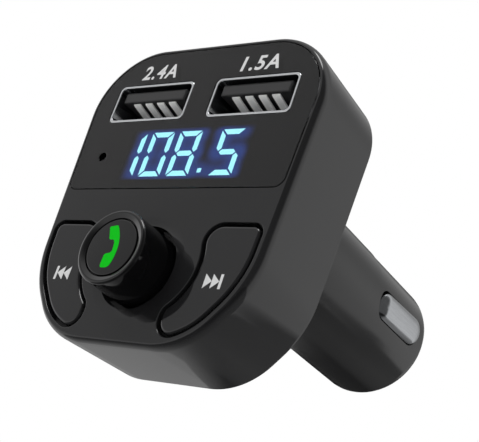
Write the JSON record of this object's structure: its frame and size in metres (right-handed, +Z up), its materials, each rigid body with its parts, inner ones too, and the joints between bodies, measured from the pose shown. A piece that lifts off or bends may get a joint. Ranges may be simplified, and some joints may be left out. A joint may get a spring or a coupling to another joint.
{
  "type": "car FM transmitter",
  "caption": "In-car FM transmitter: rounded head with display, charging ports, push-and-turn knob and skip buttons, on a round plug for the vehicle's power socket.",
  "frame": {"origin": "on the plug's axis, where the plug leaves the back of the head", "axes": "+Y along the plug towards its centre contact, -Y towards the face, +Z up towards the ports, +X to the right of someone looking at the face"},
  "size_m": [0.041, 0.0731, 0.0467],
  "materials": {
    "shell_plastic": "moulded black ABS, high gloss",
    "lens_plastic": "smoked clear polycarbonate, polished",
    "digit_light": "lit diffuser",
    "handset_green": "green inlay",
    "mark_white": "white pad-printed ink",
    "contact_steel": "nickel-plated spring steel",
    "port_steel": "tin-plated sheet steel",
    "brass": "turned brass",
    "tongue_plastic": "moulded black nylon",
    "board": "green solder mask on glass epoxy",
    "chip_plastic": "moulded epoxy",
    "rubber": "soft black rubber"
  },
  "bodies": {
    "casing": {"front_shell": "shell_plastic", "display_lens": "lens_plastic", "rear_housing": "shell_plastic", "nose_ring": "brass", "tip_spring": "contact_steel", "spring_cup": "brass", "usb_shell_left": "port_steel", "usb_shell_right": "port_steel", "usb_tongue_left": "tongue_plastic", "usb_tongue_right": "tongue_plastic", "usb_contacts_left": "brass", "usb_contacts_right": "brass", "display_module": "tongue_plastic", "display_digits": "digit_light", "microphone": "port_steel", "microphone_boot": "rubber", "main_board": "board", "power_board": "board", "board_header": "chip_plastic", "encoder_body": "chip_plastic", "encoder_bracket": "port_steel", "previous_switch": "chip_plastic", "next_switch": "chip_plastic", "radio_chip": "chip_plastic", "crystal": "port_steel", "power_inductor": "chip_plastic", "power_capacitors": "port_steel", "converter_chip": "chip_plastic", "board_screws": "contact_steel"},
    "plunger": {"encoder_plunger": "tongue_plastic"},
    "knob": {"knob": "shell_plastic", "knob_cap": "shell_plastic", "phone_symbol": "handset_green", "encoder_shaft": "contact_steel"},
    "previous": {"previous_button": "shell_plastic", "previous_symbol": "mark_white", "previous_stem": "tongue_plastic"},
    "next": {"next_button": "shell_plastic", "next_symbol": "mark_white", "next_stem": "tongue_plastic"},
    "ground_right": {"ground_contact_right": "contact_steel"},
    "ground_left": {"ground_contact_left": "contact_steel"},
    "tip": {"tip_contact": "contact_steel"}
  },
  "joints": [
    {"name": "knob_push", "type": "slide", "parent": "casing", "child": "plunger", "axis": [0, 1, 0], "range_m": [0, 0.0005], "stiffness_N_per_m": 5000},
    {"name": "knob_turn", "type": "hinge", "parent": "plunger", "child": "knob", "pos_m": [0, -0.0168, -0.0165], "axis": [0, -1, 0], "continuous": true},
    {"name": "previous_press", "type": "slide", "parent": "casing", "child": "previous", "axis": [0, 1, 0], "range_m": [0, 0.0005], "stiffness_N_per_m": 4000},
    {"name": "next_press", "type": "slide", "parent": "casing", "child": "next", "axis": [0, 1, 0], "range_m": [0, 0.0005], "stiffness_N_per_m": 4000},
    {"name": "ground_right_swing", "type": "hinge", "parent": "casing", "child": "ground_right", "pos_m": [0.00764, 0.0244, 0], "axis": [0, 0, 1], "range_deg": [0, 3.2], "stiffness_Nm_per_rad": 0.6},
    {"name": "ground_left_swing", "type": "hinge", "parent": "casing", "child": "ground_left", "pos_m": [-0.00764, 0.0244, 0], "axis": [0, 0, -1], "range_deg": [0, 3.2], "stiffness_Nm_per_rad": 0.6},
    {"name": "tip_push", "type": "slide", "parent": "casing", "child": "tip", "axis": [0, -1, 0], "range_m": [0, 0.002], "stiffness_N_per_m": 2500, "deforming": ["tip_spring"]}
  ]
}
